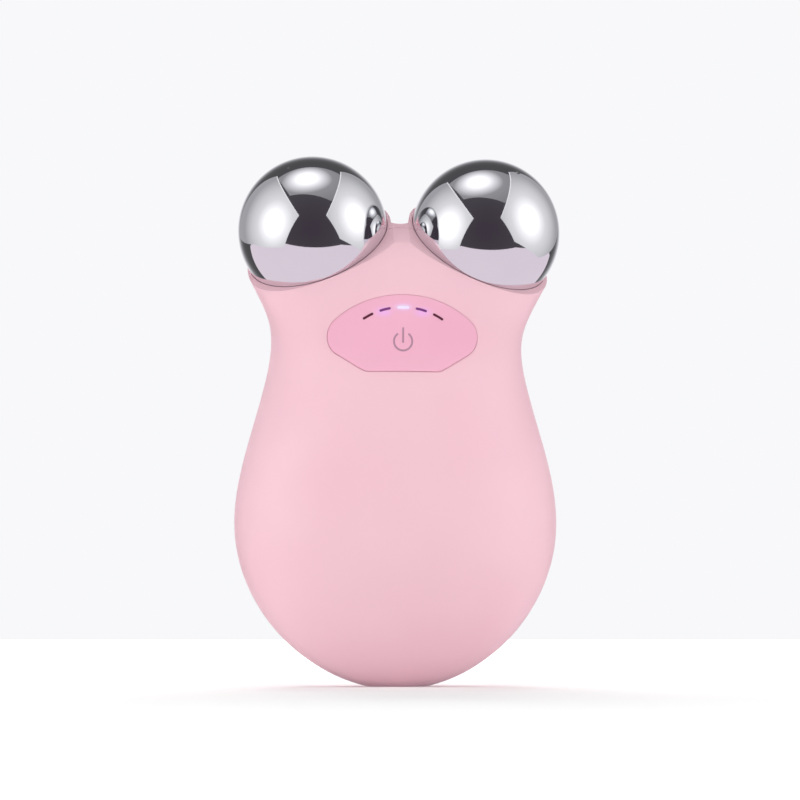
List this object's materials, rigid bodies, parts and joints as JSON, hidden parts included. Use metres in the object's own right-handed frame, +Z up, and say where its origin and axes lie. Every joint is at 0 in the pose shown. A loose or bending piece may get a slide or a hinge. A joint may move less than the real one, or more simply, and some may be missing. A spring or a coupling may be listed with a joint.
{
  "type": "facial toning device",
  "caption": "Handheld microcurrent facial toner: pink moulded body, pair of tilted chromed ball electrodes, wide press key with a curved row of indicator lights",
  "frame": {"origin": "middle of the bounding box, on the surface that the base stands on", "axes": "+X along the line of the two balls, +Y from the key side to the back, +Z up"},
  "size_m": [0.0706, 0.0422, 0.1141],
  "materials": {
    "shell": "satin pale pink moulded plastic",
    "key": "satin pink, a little deeper than the shell",
    "light_guide": "milky clear moulding",
    "electrode": "mirror chrome plating",
    "brass": "plain brass",
    "seal": "soft grey silicone",
    "lead": "insulated hook-up wire",
    "foam": "closed-cell foam",
    "dark_plastic": "matt black moulding",
    "white_plastic": "off-white nylon",
    "led": "moulded lamp package",
    "board": "green solder resist",
    "steel": "plain stamped steel",
    "aluminium": "drawn can",
    "pouch": "foil pouch"
  },
  "bodies": {
    "housing": {"front_shell": "shell", "back_shell": "shell", "left_electrode": "electrode", "right_electrode": "electrode", "left_electrode_base": "electrode", "right_electrode_base": "electrode", "left_electrode_seal": "seal", "right_electrode_seal": "seal", "left_terminal": "brass", "right_terminal": "brass", "left_stud_nut": "brass", "right_stud_nut": "brass", "left_electrode_lead": "lead", "right_electrode_lead": "lead", "main_board": "board", "board_screws": "steel", "key_switch": "steel", "microcontroller": "dark_plastic", "boost_coil": "dark_plastic", "buzzer": "dark_plastic", "capacitors": "aluminium", "battery_socket": "white_plastic", "charge_board": "board", "charge_lead": "lead", "battery_cell": "pouch", "battery_pad": "foam", "battery_lead": "lead", "seam_seal": "seal", "indicator_leds": "led", "light_baffle": "dark_plastic", "key_retainer": "dark_plastic", "charge_socket": "steel"},
    "key": {"control_key": "key", "light_guide": "light_guide"},
    "plunger": {"switch_plunger": "dark_plastic"}
  },
  "joints": [
    {"name": "key_press", "type": "slide", "parent": "housing", "child": "key", "axis": [0, 1, 0], "range_m": [0, 0.0004], "stiffness_N_per_m": 1500},
    {"name": "plunger_press", "type": "slide", "parent": "housing", "child": "plunger", "axis": [0, 1, 0], "range_m": [0, 0.0006]}
  ],
  "couplings": [
    {"joint": "plunger_press", "follows": "key_press", "ratio": 1}
  ]
}
